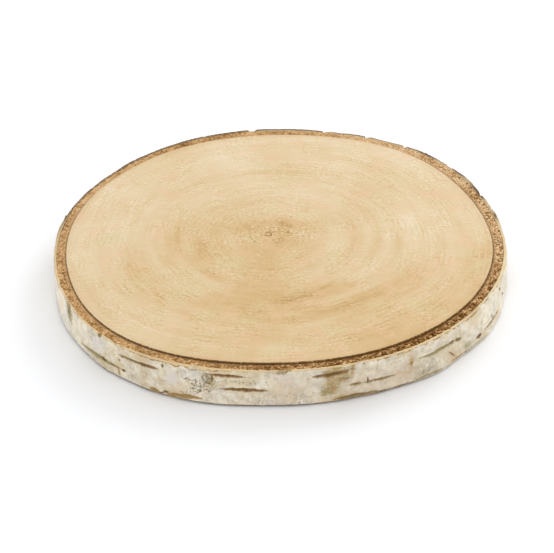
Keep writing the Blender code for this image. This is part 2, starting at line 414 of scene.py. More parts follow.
class Recipe:
    """A node material in the making."""

    # The colour inputs and output of a node that mixes two colours
    UNDER, OVER, MIXED = 6, 7, 2

    def __init__(self, name: str) -> None:
        """Starts a material.

        Args:
            name: Its name.
        """
        self.material = bpy.data.materials.new(name)
        self.material.use_nodes = True
        self.tree = self.material.node_tree
        self.shader = self.tree.nodes["Principled BSDF"]

    def feed(self, socket: Output, value: Any) -> None:
        """Gives an input what it is to have.

        Args:
            socket: The input.
            value: A value, a hex colour or another node's output.
        """
        if isinstance(value, bpy.types.NodeSocket):
            self.tree.links.new(value, socket)
        else:
            socket.default_value = linear(value) if isinstance(value, str) else value

    def add(
        self, kind: str, feeds: Sequence[Any] | Mapping[int | str, Any] = (), out: int | str = 0,
        **settings: Any,
    ) -> Output:
        """Adds a node, with its settings and what feeds it.

        Args:
            kind: Blender's name for the node, without its ShaderNode.
            feeds: What its inputs get, in their order, or by number or name. A map
                range has a value, the two ends it comes from and the two it goes to.
            out: Which output is returned, by number or name.
            **settings: Properties of the node. The stops of a colour ramp are pairs of
                a position and a hex colour.

        Returns:
            The chosen output.
        """
        node = self.tree.nodes.new("ShaderNode" + kind)
        stops = settings.pop("stops", ())
        for key, value in settings.items():
            setattr(node, key, value)
        for number, (position, colour) in enumerate(stops):
            elements = node.color_ramp.elements
            element = elements[number] if number < 2 else elements.new(position)
            element.position = position
            element.color = linear(colour)
        for key, value in feeds.items() if isinstance(feeds, Mapping) else enumerate(feeds):
            self.feed(node.inputs[key], value)
        return node.outputs[out]

    def total(self, *parts: Sequence[Any], start: float = 0.0) -> Output:
        """Adds up shares of outputs.

        Args:
            *parts: An output, its share and, if it swings about a value that is to count
                as nothing, that value.
            start: What the sum starts from.

        Returns:
            The sum.
        """
        whole: Any = start - sum(share * middle for _, share, *rest in parts for middle in rest)
        for part, share, *_ in parts:
            whole = self.add("Math", (part, share, whole), operation="MULTIPLY_ADD")
        return whole

    def coat(self, colour: Any, *coats: tuple[Any, Any]) -> Output:
        """Lays colours over one another.

        Args:
            colour: The lowest.
            *coats: How much of each next colour shows, and that colour, from below up.

        Returns:
            What is seen of them all.
        """
        for share, upper in coats:
            feeds = {0: share, self.UNDER: colour, self.OVER: upper}
            colour = self.add("Mix", feeds, out=self.MIXED, data_type="RGBA")
        return colour

    def spot(self) -> Output:
        """The place on the piece, in millimetres."""
        metres = self.add("TexCoord", out="Object")
        return self.add("VectorMath", {0: metres, "Scale": 1.0 / MM}, operation="SCALE")

    def patterns(self, spot: Output, *sorts: Pattern) -> Iterator[Output]:
        """Draws patterns at their real sizes.

        Args:
            spot: The place in millimetres.
            *sorts: The patterns.

        Yields:
            The noise of each, about 0 to 1.
        """
        for sort in sorts:
            shrunk = tuple(1.0 / size for size in sort.sizes)
            place = self.add("VectorMath", (spot, shrunk), operation="MULTIPLY")
            yield self.add("TexNoise", {
                "Vector": place, "Scale": 1.0, "Detail": sort.detail, "Roughness": sort.roughness,
            })

    def dress(self, **feeds: Any) -> bpy.types.Material:
        """Feeds the shader.

        Args:
            **feeds: What its inputs get, by their names with underscores for spaces.

        Returns:
            The finished material.
        """
        for key, value in feeds.items():
            self.feed(self.shader.inputs[key.replace("_", " ")], value)
        return self.material


@dataclass(frozen=True)
class Streak:
    """A thin dark line in the wood that follows a growth ring, or drifts across a few."""

    growth: float
    bearing: float
    spread: float
    width: float
    strength: float
    drift: float = 0.0


@dataclass(frozen=True)
class SandedEndGrain:
    """Birch sapwood, sawn across the stem and sanded, with no oil or lacquer.

    It is pale cream with faint brownish growth rings, hair-thin rays that run out from
    the pith, and a dull sheen where the light grazes it. Sanding leaves very fine
    scratches in one direction, and the fibre ends stand as darker and paler flecks.
    """

    pith: tuple[float, float, float]
    wood_mean: float
    palette: tuple[tuple[float, str], ...] = (
        (0.0, "#6b4619"), (0.28, "#ae8545"), (0.5, "#c8a66f"), (0.7, "#d4bc93"), (1.0, "#e8d9c1"),
    )
    roughness: float = 0.55
    ior: float = 1.5
    ring_width: float = 2.7
    # What shifts the rings, where they and the fuzz show, and where the wood is paler
    sway: Pattern = Pattern((22.0, 22.0, 22.0), 1.0)
    patches: Pattern = Pattern((16.0, 16.0, 16.0), 1.0)
    clouds: Pattern = Pattern((30.0, 30.0, 30.0), 3.0)
    # Sanding scratches along x, and fibre ends: both drawn coarser than real ones to show
    grit: Pattern = Pattern((9.0, 0.7, math.inf), 1.0)
    ends: Pattern = Pattern((1.5, 1.1, 1.0))
    scratch_depth: float = 0.06
    # Noise round the pith, by its spokes and its width along the growth: good and lean
    # years, rays, and fibres torn along the rings
    swirls: tuple[tuple[float, float], ...] = ((1.6, 5.5), (80.0, 16.0), (11.0, 1.2))
    # Where the wood is a little pinker, and where greener
    tints: tuple[tuple[str, Pattern], ...] = (
        ("#dcb48e", Pattern((11.0, 11.0, 11.0), 3.0)), ("#cbbb88", Pattern((15.0, 15.0, 15.0), 3.0)),
    )
    # The youngest wood is a little browner, and the cambium stains the cut edge: how far in
    # that starts, where it is full, its colour and its share
    edges: tuple[tuple[float, float, str, float], ...] = (
        (5.0, 0.6, "#c49c66", 0.22), (0.3, 0.02, "#573408", 0.85),
    )
    # The dark patch round the pith: its middle from the pith, half its size
    heart: tuple[float, float, float] = (3.5, 3.3, 0.0)
    heart_size: tuple[float, float, float] = (12.0, 8.0, math.inf)
    streaks: tuple[Streak, ...] = (
        Streak(54.0, 292.0, 26.0, 1.5, 0.09, -15.6), Streak(67.0, 306.0, 36.0, 0.9, 0.09, 6.0),
        Streak(50.0, 185.0, 24.0, 2.2, 0.09), Streak(72.0, 300.0, 40.0, 1.6, 0.04),
        Streak(12.0, 50.0, 30.0, 1.2, 0.10), Streak(9.0, 200.0, 50.0, 0.9, 0.12),
        Streak(88.0, 258.0, 20.0, 1.2, 0.05), Streak(96.0, 98.0, 14.0, 1.2, 0.06),
        Streak(62.0, 40.0, 26.0, 1.2, 0.05, 5.0), Streak(30.0, 262.0, 34.0, 1.0, 0.07),
        # The pith's own ring, and the crack beside it
        Streak(1.6, 10.0, 180.0, 0.8, 0.45), Streak(1.6, 190.0, 150.0, 0.8, 0.38),
        Streak(7.0, 18.0, 34.0, 1.1, 0.16, -14.0), Streak(4.5, 215.0, 40.0, 0.8, 0.10),
    )

    def build(self) -> bpy.types.Material:
        """Builds the material.

        Returns:
            The finish of the sawn wood.
        """
        mix = Recipe("sanded_birch_end_grain")
        spot = mix.spot()
        growth, bands_and_painted_light = (
            mix.add("Attribute", out="Fac", attribute_name=name) for name in ("growth", "bands_and_painted_light")
        )
        sway, patchy, cloud, scratches, pores = mix.patterns(
            spot, self.sway, self.patches, self.clouds, self.grit, self.ends,
        )

        # Each year's wood darkens slowly to a soft line
        years = mix.total((growth, 1.0 / self.ring_width), (sway, 1.0))
        season = mix.add("Math", (years,), operation="FRACT")
        season = mix.add("Math", (season, 3.0), operation="POWER")
        faint = mix.add("MapRange", (patchy, 0.42, 0.66, 0.1, 1.0))
        rings = mix.add("Math", (season, faint), operation="MULTIPLY")

        out = mix.add("VectorMath", (spot, self.pith), operation="SUBTRACT")
        away = mix.add("VectorMath", (out, (1.0, 1.0, 0.0)), operation="MULTIPLY")
        away = mix.add("VectorMath", (away,), operation="NORMALIZE")
        lean, rays, fibres = (self.swirl(mix, away, growth, *scales) for scales in self.swirls)
        # The fine ones swing about zero
        pores, scratches, fibres = (
            mix.total((part, 1.0, 0.5)) for part in (pores, scratches, fibres)
        )

        # How far out of the heart's dark patch, 1 at its edge
        off = mix.add("VectorMath", (out, self.heart), operation="SUBTRACT")
        sizes = tuple(1.0 / size for size in self.heart_size)
        off = mix.add("VectorMath", (off, sizes), operation="MULTIPLY")
        off = mix.add("VectorMath", (off,), out="Value", operation="LENGTH")
        off = mix.total((off, 1.0), (patchy, 1.6))

        # Scratches, flecks and torn fibres show more in some places than in others
        scratched = mix.add("MapRange", (sway, 0.4, 0.62, 0.25, 1.5))
        fuzzy = mix.add("MapRange", (patchy, 0.36, 0.64, 0.1, 1.5))
        nearby = mix.add("MapRange", (off, 1.0, 3.4, 2.2, 0.0))
        flecks = mix.add("Math", (pores,), operation="ABSOLUTE")
        flecks = mix.add("Math", (flecks, pores), operation="MULTIPLY")
        flecks = mix.total((flecks, 5.0), (pores, 1.0))
        scratches, fibres, flecks = (
            mix.add("Math", product, operation="MULTIPLY") for product in (
                (scratches, scratched), (fibres, fuzzy),
                (flecks, mix.total((fuzzy, 1.0), (nearby, 1.0))),
            )
        )

        # Tone, from 0 dark to 1 pale
        heart = mix.add("MapRange", (off, 0.7, 3.8, 0.50, 0.64), interpolation_type="SMOOTHERSTEP")
        outer = mix.add("MapRange", (growth, 30.0, 95.0, 0.0, 0.06))
        # The field of the arcs also carries painted sheen towards the back and painted shade towards
        # the front
        tone = mix.total(
            (heart, 1.0), (outer, 1.0), (rings, -0.11, 0.1), (lean, 0.22, 0.5), (rays, 0.10, 0.5),
            (fibres, 0.28), (scratches, 0.20), (flecks, 0.30), (cloud, 0.36, 0.5), (bands_and_painted_light, -0.24),
            (self.drawn(mix, away, growth, pores), -1.0),
        )
        colour = mix.add("ValToRGB", (tone,), stops=self.palette)
        for tint, sort in self.tints:
            patch, = mix.patterns(spot, sort)
            colour = mix.coat(colour, (mix.add("MapRange", (patch, 0.5, 0.72, 0.0, 0.45)), tint))
        reach = mix.total((pores, 0.8), (growth, 1.0))
        for start, full, tint, most in self.edges:
            share = mix.add(
                "MapRange", (reach, self.wood_mean - start, self.wood_mean - full, 0.0, most),
                interpolation_type="SMOOTHSTEP",
            )
            colour = mix.coat(colour, (share, tint))

        fuzz = mix.total((scratches, 0.8), (flecks, 1.0), (rings, -0.3))
        bump = mix.add(
            "Bump", {"Strength": 0.35, "Distance": self.scratch_depth * MM, "Height": fuzz},
            out="Normal",
        )
        sheen = mix.add("MapRange", (pores, -0.2, 0.2, self.roughness + 0.08, self.roughness - 0.06))
        gloss = mix.add("MapRange", (growth, self.wood_mean - 0.4, self.wood_mean, 0.5, 0.05))
        return mix.dress(
            Base_Color=colour, Roughness=sheen, Normal=bump, IOR=self.ior, Specular_IOR_Level=gloss,
        )

    def drawn(self, mix: Recipe, away: Output, growth: Output, pores: Output) -> Output:
        """The thin dark lines, as a loss of tone.

        Args:
            mix: The material in the making.
            away: Direction from the pith.
            growth: Growth in millimetres.
            pores: Fine noise round zero, which frays the lines.

        Returns:
            How much darker the wood is at each place.
        """
        frayed = mix.total((pores, 3.0), (growth, 1.0))
        lines = []
        for streak in self.streaks:
            angle, spread = math.radians(streak.bearing), math.radians(streak.spread)
            ways = (math.cos(angle), math.sin(angle), 0.0), (-math.sin(angle), math.cos(angle), 0.0)
            ahead, aside = (
                mix.add("VectorMath", (away, way), out="Value", operation="DOT_PRODUCT") for way in ways
            )
            off = mix.total((frayed, 1.0), (aside, -streak.drift), start=-streak.growth)
            off = mix.add("Math", (off,), operation="ABSOLUTE")
            line = mix.add(
                "MapRange", (off, 0.0, streak.width, streak.strength, 0.0),
                interpolation_type="SMOOTHSTEP",
            )
            reach = mix.add(
                "MapRange", (ahead, math.cos(spread), math.cos(0.2 * spread)),
                interpolation_type="SMOOTHSTEP",
            )
            lines.append((line, reach))
        return mix.total(*lines)

    def swirl(self, mix: Recipe, away: Output, growth: Output, spokes: float, width: float) -> Output:
        """Noise drawn round the pith.

        Args:
            mix: The material in the making.
            away: Direction from the pith.
            growth: Growth in millimetres.
            spokes: How fast the noise changes with direction.
            width: Size of its features along the growth.

        Returns:
            The noise, about 0 to 1.
        """
        along = mix.add("CombineXYZ", {2: mix.total((growth, 1.0 / width))})
        fan = mix.add("VectorMath", (away, (spokes, spokes, 0.0), along), operation="MULTIPLY_ADD")
        return mix.add("TexNoise", {"Vector": fan, "Scale": 1.0, "Detail": 2.0})


@dataclass(frozen=True)
class GranularInnerBark:
    """Living bark of birch, sawn across and dried: cork-like, full of hard stone cells.

    Its inner third is an even tan, and the rest is orange-brown grains about a
    millimetre wide, with dark crevices and specks between them. It has no gloss. Beside
    the wood the cambium has stained it dark brown.
    """

    palette: tuple[tuple[float, str], ...] = (
        (0.0, "#4a2c0e"), (0.3, "#865c2e"), (0.45, "#9e7849"), (0.65, "#ca9f6c"), (1.0, "#e8c79b"),
    )
    crevice: str = "#44280f"
    tan: str = "#b8976f"
    cambium: str = "#573408"
    roughness: float = 0.9
    ior: float = 1.45
    gloss: float = 0.05
    grain: float = 1.4
    specks: Pattern = Pattern((0.9, 0.9, 0.9), 3.0, 0.65)
    lumps: Pattern = Pattern((2.4, 2.4, 2.4), 1.0)
    patches: Pattern = Pattern((7.0, 7.0, 7.0))
    speck_depth: float = 0.3

    def build(self) -> bpy.types.Material:
        """Builds the material.

        Returns:
            The finish of the inner bark.
        """
        mix = Recipe("granular_inner_bark")
        spot = mix.spot()
        across, height, grainy, brown, stained = (
            mix.add("Attribute", out="Fac", attribute_name=name)
            for name in ("across", "granule", "grainy", "brown", "stained")
        )
        cell = mix.add("TexVoronoi", {"Vector": spot, "Scale": 1.0 / self.grain}, out="Color")
        cell = mix.add("SeparateColor", (cell,))
        fine, lumps, broad = mix.patterns(spot, self.specks, self.lumps, self.patches)

        # Grains, each of its own brown, that stand out more on some sides than on others
        relief = mix.total((cell, 0.4, 0.5), (fine, 0.9, 0.5), (lumps, 1.0, 0.5), (height, 0.3, 0.7))
        # The brown field is painted shade: it darkens the grains broadly towards the front
        shade = mix.total((relief, grainy), (broad, 0.5), (brown, -0.5), (grainy, 0.1), start=0.42)
        grains = mix.add("ValToRGB", (shade,), stops=self.palette)
        gap = mix.add("MapRange", (height, 0.0, 0.4, 0.75, 0.0))
        speck = mix.add("MapRange", (fine, 0.42, 0.35, 0.0, 0.85))
        dark = mix.add("Math", (gap, speck), operation="MAXIMUM")
        dark = mix.add("Math", (dark, grainy), operation="MULTIPLY")

        # The even inner third, which fades where the brown field's painted shade lies
        blotch = mix.total((broad, 0.5), (across, 1.0))
        even = mix.add("MapRange", (blotch, 0.42, 0.62, 0.65, 0.0), interpolation_type="SMOOTHSTEP")
        even = mix.add("Math", (even, mix.total((brown, -1.0), start=1.0)), operation="MULTIPLY")

        # The cambium's stain, with a ragged edge, strengthened towards the front as painted shade
        ragged = mix.add("Math", (mix.total((fine, 1.8), start=0.1), stained), operation="MULTIPLY")
        seam = mix.add("MapRange", (ragged, 0.1, 0.85, 0.0, 0.95))
        colour = mix.coat(grains, (dark, self.crevice), (even, self.tan), (seam, self.cambium))
        bump = mix.add(
            "Bump", {"Strength": 0.8, "Distance": self.speck_depth * MM, "Height": fine},
            out="Normal",
        )
        return mix.dress(
            Base_Color=colour, Roughness=self.roughness, Normal=bump, IOR=self.ior,
            Specular_IOR_Level=self.gloss,
        )


@dataclass(frozen=True)
class WhitePaperBark:
    """Outer bark of birch, as it grew: many papery layers, white with fine level streaks.

    Its lenticels are brown or olive slits, and here and there a pale bluish bloom lies on
    it. Where a layer is torn back the one below shows cream, and weather leaves grey-green
    stains and sooty specks. It is satin-matt.
    """

    palette: tuple[tuple[float, str], ...] = (
        (0.0, "#8f8470"), (0.3, "#bdb19a"), (0.6, "#d3c8b1"), (1.0, "#eee4d0"),
    )
    # Cool, warm and chalky patches: colour, size, the least noise that shows it, most share
    washes: tuple[tuple[str, float, float, float], ...] = (
        ("#c6c4c5", 10.0, 0.5, 0.55), ("#d6c29a", 13.0, 0.47, 0.7), ("#efe9e0", 3.4, 0.52, 0.6),
    )
    stains: tuple[tuple[Stain, str, float], ...] = (
        (Stain.BLOOM, "#d8d0c9", 0.9), (Stain.BLUSH, "#ccb08f", 0.75),
        (Stain.SAGE, "#978d62", 0.9), (Stain.MOSS, "#a88b58", 0.92),
    )
    soot: str = "#635c4a"
    # Where blotches of soot overlap they get no blacker than this
    most_soot: float = 1.3
    cream: str = "#dcc18e"
    torn_line: str = "#94713f"
    edge: str = "#54371d"
    # Shells of a lenticel: from and to how far inside it, most share, brown, olive, tan
    shells: tuple[tuple[float, float, float, str, str, str], ...] = (
        (-0.25, 0.18, 0.92, "#93744c", "#a89a72", "#ac8f63"),
        (0.22, 0.75, 0.85, "#644a26", "#968a65", "#9a7c4c"),
    )
    roughness: float = 0.7
    ior: float = 1.45
    gloss: float = 0.2
    level_streaks: Pattern = Pattern((5.0, 5.0, 0.6), 3.0)
    drips: Pattern = Pattern((1.1, 1.1, 5.0))
    clouds: Pattern = Pattern((7.0, 7.0, 7.0), 4.0)
    mottle: Pattern = Pattern((2.4, 2.4, 2.4))
    grit: Pattern = Pattern((0.9, 0.9, 0.9), 3.0, 0.65)
    soot_specks: Pattern = Pattern((1.1, 1.1, 1.1), 3.0, 0.7)
    streak_depth: float = 0.15

    def build(self) -> bpy.types.Material:
        """Builds the material.

        Returns:
            The finish of the white bark.
        """
        mix = Recipe("white_birch_paper_bark")
        spot = mix.spot()
        fields = {
            name: mix.add("Attribute", out="Fac", attribute_name=name) for name in WALL_FIELDS
        }
        streaks, drips, cloud, mottle, grit, specks = mix.patterns(
            spot, self.level_streaks, self.drips, self.clouds, self.mottle, self.grit,
            self.soot_specks,
        )
        # Tone takes the layer field, which holds painted light on the sides as well as the flaking
        tone = mix.total(
            (streaks, 0.6), (cloud, 1.3), (mottle, 0.8), (grit, 0.9), (drips, 0.4),
            (fields["layer"], 0.08), start=-1.4,
        )
        colour = mix.add("ValToRGB", (tone,), stops=self.palette)
        for tint, size, least, most in self.washes:
            patch, = mix.patterns(spot, Pattern((size, size, size), 4.0))
            share = mix.add("MapRange", (patch, least, least + 0.2, 0.0, most))
            colour = mix.coat(colour, (share, tint))

        # Stains lie on the surface, ragged at their edges
        ragged = mix.total((streaks, 2.0), (grit, 1.6), (drips, 1.2), (mottle, 0.8), start=-1.8)
        for stain, tint, most in self.stains:
            thick = mix.add("Math", (fields[stain.value], ragged), operation="MULTIPLY")
            share = mix.add("MapRange", (thick, 0.2, 1.3, 0.0, most), interpolation_type="SMOOTHSTEP")
            colour = mix.coat(colour, (share, tint))

        # Soot: specks that grow denser where its field is strong
        thick = mix.add("Math", (fields[Stain.SOOT.value], self.most_soot), operation="MINIMUM")
        dense = mix.total((thick, 0.16), (specks, 1.0))
        sooty = mix.add("MapRange", (dense, 0.64, 0.80, 0.0, 0.85))

        # Cream where the outer layer is torn back, with a brown line along the tear
        pale = mix.add("MapRange", (cloud, 0.35, 0.6, 0.45, 0.95))
        bare = mix.add("MapRange", (fields["torn"], -0.1, 0.15, 0.0, 1.0))
        bare = mix.add("Math", (bare, pale), operation="MULTIPLY")
        apart = mix.add("Math", (fields["torn"],), operation="ABSOLUTE")
        apart = mix.total((grit, 0.9), (apart, 1.0))
        line = mix.add("MapRange", (apart, 0.45, 0.75, 0.85, 0.0))

        # The sawn edge is brown where it meets the inner bark and all round the back, and along the
        # foot, where it is darkened with painted contact shadow
        dark = mix.total((grit, 0.6), (fields["dark"], 1.0))
        dark = mix.add("MapRange", (dark, 0.5, 1.05, 0.0, 0.92))
        colour = mix.coat(
            colour, (sooty, self.soot), (bare, self.cream), (line, self.torn_line), (dark, self.edge),
        )

        # Lenticels, made ragged, each shell with its own three colours
        inside = mix.total((fields["lenticel"], 1.0), (grit, 0.8, 0.5), (drips, 0.9, 0.5))
        for low, high, most, brown, olive, tan in self.shells:
            tint = mix.coat(brown, (fields["olive"], olive), (fields["tan"], tan))
            share = mix.add("MapRange", (inside, low, high, 0.0, most))
            colour = mix.coat(colour, (share, tint))
        relief = mix.total((streaks, 1.2), (grit, 1.0))
        bump = mix.add(
            "Bump", {"Strength": 0.45, "Distance": self.streak_depth * MM, "Height": relief},
            out="Normal",
        )
        return mix.dress(
            Base_Color=colour, Roughness=self.roughness, Normal=bump, IOR=self.ior,
            Specular_IOR_Level=self.gloss,
        )


@dataclass(frozen=True)
class WoodRound:
    """The wood of the slice: both sanded faces and the stained edge between them."""

    stem: Stem
    columns: int = 960
    arris: float = 0.35
    chewing: tuple[Ripple, ...] = (Ripple(0.16, 0.8, 0.8, 1), Ripple(0.12, 3.0, 3.0, 2))
    # Waves in the growth rings: their rise, their size, where their noise is taken
    warps: tuple[tuple[float, float, float], ...] = ((2.4, 45.0, 0.0), (0.5, 20.0, 5.0))
    # Rows of the two faces, as shares of the way from the pith out, closer round the pith
    upper_rows: tuple[float, ...] = (0.004, 0.012, 0.025, 0.045, *np.linspace(0.07, 0.985, 38))
    lower_rows: tuple[float, ...] = (0.02, *np.linspace(0.1, 0.98, 14))
    # Broad brown arcs, and stretches of painted sheen and shade: radius, width, strength, bearing
    # from the pith, spread
    arcs: tuple[tuple[float, float, float, float, float], ...] = (
        (13.0, 4.0, 0.4, 50.0, 18.0), (37.0, 5.5, 0.6, 200.0, 15.0), (51.0, 3.6, 0.4, 185.0, 22.0),
        (47.5, 3.5, 0.5, 232.0, 11.0), (55.0, 6.0, 0.7, 290.0, 20.0), (71.5, 5.0, 0.5, 300.0, 32.0),
        (74.0, 4.0, 0.4, 215.0, 28.0), (86.0, 4.0, 0.3, 66.0, 22.0), (66.0, 4.0, 0.3, 84.0, 34.0),
        (42.0, 2.6, 0.35, 350.0, 36.0), (51.5, 2.6, 0.4, 352.0, 30.0), (61.0, 2.8, 0.45, 350.0, 32.0),
        # Whole stretches: painted sheen, paler towards the back and the right, and painted shade,
        # darker towards the front
        (85.0, 34.0, -0.25, 115.0, 62.0), (50.0, 34.0, -0.25, 5.0, 34.0),
        (46.0, 26.0, 0.25, 225.0, 50.0), (92.0, 26.0, 0.55, 322.0, 34.0),
        (80.0, 44.0, 0.42, 275.0, 34.0), (24.0, 15.0, 0.36, 285.0, 40.0),
        # Beside the bark
        (107.0, 5.0, 0.45, 302.0, 40.0), (101.0, 9.0, 0.5, 344.0, 18.0), (99.0, 13.0, 0.6, 121.0, 12.0),
        (103.0, 8.0, -0.4, 40.0, 18.0), (97.0, 9.0, -0.2, 205.0, 45.0), (90.0, 7.0, -0.3, 240.0, 14.0),
        (88.0, 6.0, -0.35, 320.0, 13.0),
    )

    def from_pith(self, bearing: Array) -> Array:
        """The distance from the pith to the edge of the wood.

        Args:
            bearing: Bearings from the pith.

        Returns:
            The distance at each.
        """
        near = np.full(bearing.shape, 0.5 * self.stem.wood_mean)
        far = np.full(bearing.shape, 1.5 * self.stem.wood_mean)
        angle = np.radians(bearing)
        # Thirty halvings find it to less than a millionth of a millimetre
        for _ in range(30):
            middle = 0.5 * (near + far)
            across = self.stem.pith[0] + middle * np.cos(angle)
            along = self.stem.pith[1] + middle * np.sin(angle)
            edge = self.stem.wood_edge(np.degrees(np.arctan2(along, across)))
            inside = np.hypot(across, along) < edge
            near, far = np.where(inside, middle, near), np.where(inside, far, middle)
        return near

    def face_rows(self, face: Face, shares: Sequence[float], edge: Array) -> tuple[Array, Array]:
        """Rows of one face, from near the pith out to under the inner bark.

        Args:
            face: The sawn face.
            shares: Shares of the way from the pith to the edge.
            edge: Distance from the pith to the edge, by column.

        Returns:
            Distance from the pith and height, each a grid.
        """
        chewed = self.stem.rough(all_round(self.columns), 0.0, *self.chewing, shift=face.value)
        # The worn arris and the side: how far out of the edge, drop, share of the chewing
        rim = (
            (-2.0 * self.arris, 0.0, 0.0), (-self.arris, 0.03, 0.4), (-0.3 * self.arris, 0.14, 0.8),
            (0.0, self.arris, 1.0), (0.05, 1.0, 1.0), (0.0, 1.7, 1.0), (-0.5, 2.4, 0.0),
        )
        distance = [share * edge for share in shares]
        distance += [edge + out + share * chewed for out, _, share in rim]
        drops = np.array([*np.zeros(len(shares)), *(drop for _, drop, _ in rim)])[:, None]
        distance = np.concatenate(distance)
        return distance, np.broadcast_to(self.stem.level(drops, face), distance.shape)

    def growth(self, share: Array, places: Array) -> Array:
        """How much the stem had grown at each place: its radius then, in millimetres.

        Args:
            share: Share of the way from the pith to the edge.
            places: The places.

        Returns:
            The growth at each.
        """
        settled = np.clip(4.0 * share * (1.0 - share), 0.0, 1.0) ** 0.5
        warp = sum(rise * noise_at(places / size + shift) for rise, size, shift in self.warps)
        return self.stem.wood_mean * share + settled * warp

    def arc_tone(self, growth: Array, bearing: Array) -> Array:
        """How strong the broad brown arcs and the painted sheen and shade are, about 0 to 1.

        Args:
            growth: Growth in millimetres.
            bearing: Bearings from the pith.

        Returns:
            Their sum at each place, below zero where the wood is paler.
        """
        return sum(
            strength * np.exp(-(((growth - radius) / width) ** 2)) * bell(bearing, middle, spread)
            for radius, width, strength, middle, spread in self.arcs
        )

    def build(self) -> bpy.types.Object:
        """Builds and dresses the wood.

        Returns:
            The piece.
        """
        stem = self.stem
        bearing = all_round(self.columns)
        edge = self.from_pith(bearing)
        upper = self.face_rows(Face.UPPER, self.upper_rows, edge)
        lower = self.face_rows(Face.LOWER, self.lower_rows, edge)
        distance, height = (np.concatenate([over, under[::-1]]) for over, under in zip(upper, lower))
        places = stem.place(bearing, distance, height, stem.pith)
        growth = self.growth(distance / edge, places)
        fields = {"growth": growth, "bands_and_painted_light": self.arc_tone(growth, bearing)}
        mesh = Skin()
        mesh.cover(places, fields, ring=False)
        finish = SandedEndGrain(stem.pith_place(), stem.wood_mean).build()
        return mesh.piece("sawn_wood", finish, Slot.WOOD)


@dataclass(frozen=True)
class InnerBarkRing:
    """The brown inner bark: a sunk, granular ring on both faces."""

    stem: Stem
    columns: int = 1600
    strips: int = 17
    side_rows: int = 9
    side_margin: float = 1.2
    side_rough: Ripple = Ripple(0.2, 2.0, 2.0, 9)
    tuck: float = 0.25
    # How far the ring lies below the sawn face at the wood and at the paper, and its groove
    drop: float = 0.75
    drop_at_paper: float = 0.45
    groove: float = 0.2
    # The grains' size and rise, the height of one that stands level with the ring, and the
    # sizes and shares of the lumps that ride on them
    grain: float = 1.5
    grain_rise: float = 0.5
    level_grain: float = 0.6
    lumps: tuple[tuple[float, float], ...] = ((2.4, 1.0), (0.9, 0.5))
    lump_share: float = 0.4
    # Shares of the way across: where the groove beside the wood ends, where the even inner
    # part gives way to full grains, and where they start to die out beside the paper
    groove_end: float = 0.16
    even_end: tuple[float, float] = (0.15, 0.45)
    fade_start: float = 0.92
    # How much of their rise the grains keep in the even part
    even_rise: float = 0.25
    # Where painted shade darkens the ring, broadly towards the front, and painted light lifts the
    # right and the back, with a few narrow dark spots at the back; where its grains stand out; and
    # where the cambium stains it, widened towards the front as painted shade beside the wood's step
    painted_shade_and_spots: Bells = (
        (311.0, 32.0, 0.58), (266.0, 34.0, 0.34), (108.0, 32.0, 0.18), (200.0, 26.0, 0.08),
        (50.0, 26.0, -0.28), (0.0, 14.0, -0.24), (160.0, 14.0, -0.12), (20.0, 12.0, -0.16),
        (118.0, 2.5, 0.3), (46.0, 2.5, 0.3), (23.0, 4.0, 0.4), (10.0, 2.0, 0.3),
    )
    grainy_sides: Bells = (
        (310.0, 44.0, 0.7), (0.0, 34.0, 0.4), (35.0, 24.0, 0.3), (186.0, 22.0, 0.25),
    )
    stain_and_shade_sides: Bells = ((282.0, 48.0, 0.95), (325.0, 16.0, 0.2))
    least_grainy: float = 0.45
    least_stained: float = 0.24
    # How far across the ring the stain reaches
    stain_reach: float = 0.42

    def face_rows(self, face: Face, bearing: Array) -> tuple[Array, Array, Array, Array]:
        """Rows of one face, from the wood out to the paper.

        Args:
            face: The sawn face.
            bearing: The columns' bearings.

        Returns:
            Radius, height, share of the way across and grain height, each a grid.
        """
        stem = self.stem
        share = np.linspace(0.0, 1.0, self.strips)[:, None]
        inner = stem.wood_edge(bearing) - self.tuck
        outer = stem.inner_edge(bearing) + self.tuck
        radius = inner + share * (outer - inner)
        level = stem.level(self.drop + share * (self.drop_at_paper - self.drop), face)
        places = stem.place(bearing, radius, level)
        grains = grains_at(places / self.grain + 11.0 * face.value)
        lumps = sum(part * noise_at(places / size) for size, part in self.lumps)
        gate = self.even_rise + (1.0 - self.even_rise) * ease(*self.even_end, share)
        rise = gate * self.grain_rise * (grains - self.level_grain + self.lump_share * lumps)
        rise *= ease(1.0, self.fade_start, share)
        rise -= self.groove * (1.0 - ease(0.0, self.groove_end, share))
        sign = 1.0 if face is Face.UPPER else -1.0
        return radius, level + sign * rise, np.broadcast_to(share, radius.shape), grains

    def build(self) -> bpy.types.Object:
        """Builds and dresses the inner bark.

        Returns:
            The piece.
        """
        stem = self.stem
        bearing = all_round(self.columns)
        upper, lower = (self.face_rows(face, bearing) for face in Face)
        heights = np.linspace(stem.thickness - self.side_margin, self.side_margin, self.side_rows)
        rough = stem.rough(bearing, heights[:, None], self.side_rough)
        radius = stem.inner_edge(bearing) + self.tuck + rough
        side = [np.broadcast_to(grid, radius.shape) for grid in (radius, heights[:, None], 1.0, 0.5)]
        radius, height, across, granule = (
            np.concatenate([top, wall, base[::-1]]) for top, wall, base in zip(upper, side, lower)
        )
        # The brown field is painted shade by bearing with a few dark spots, and the stain is widened
        # towards the front as painted shade
        stained = self.least_stained + bells(bearing, self.stain_and_shade_sides)
        fields = {
            "across": across, "granule": granule, "brown": bells(bearing, self.painted_shade_and_spots),
            "grainy": np.minimum(bells(bearing, self.grainy_sides) + self.least_grainy, 1.0),
            "stained": stained * ease(self.stain_reach, 0.0, across),
        }
        mesh = Skin()
        mesh.cover(stem.place(bearing, radius, height), fields, ring=True)
        return mesh.piece("inner_bark", GranularInnerBark().build(), Slot.INNER_BARK)


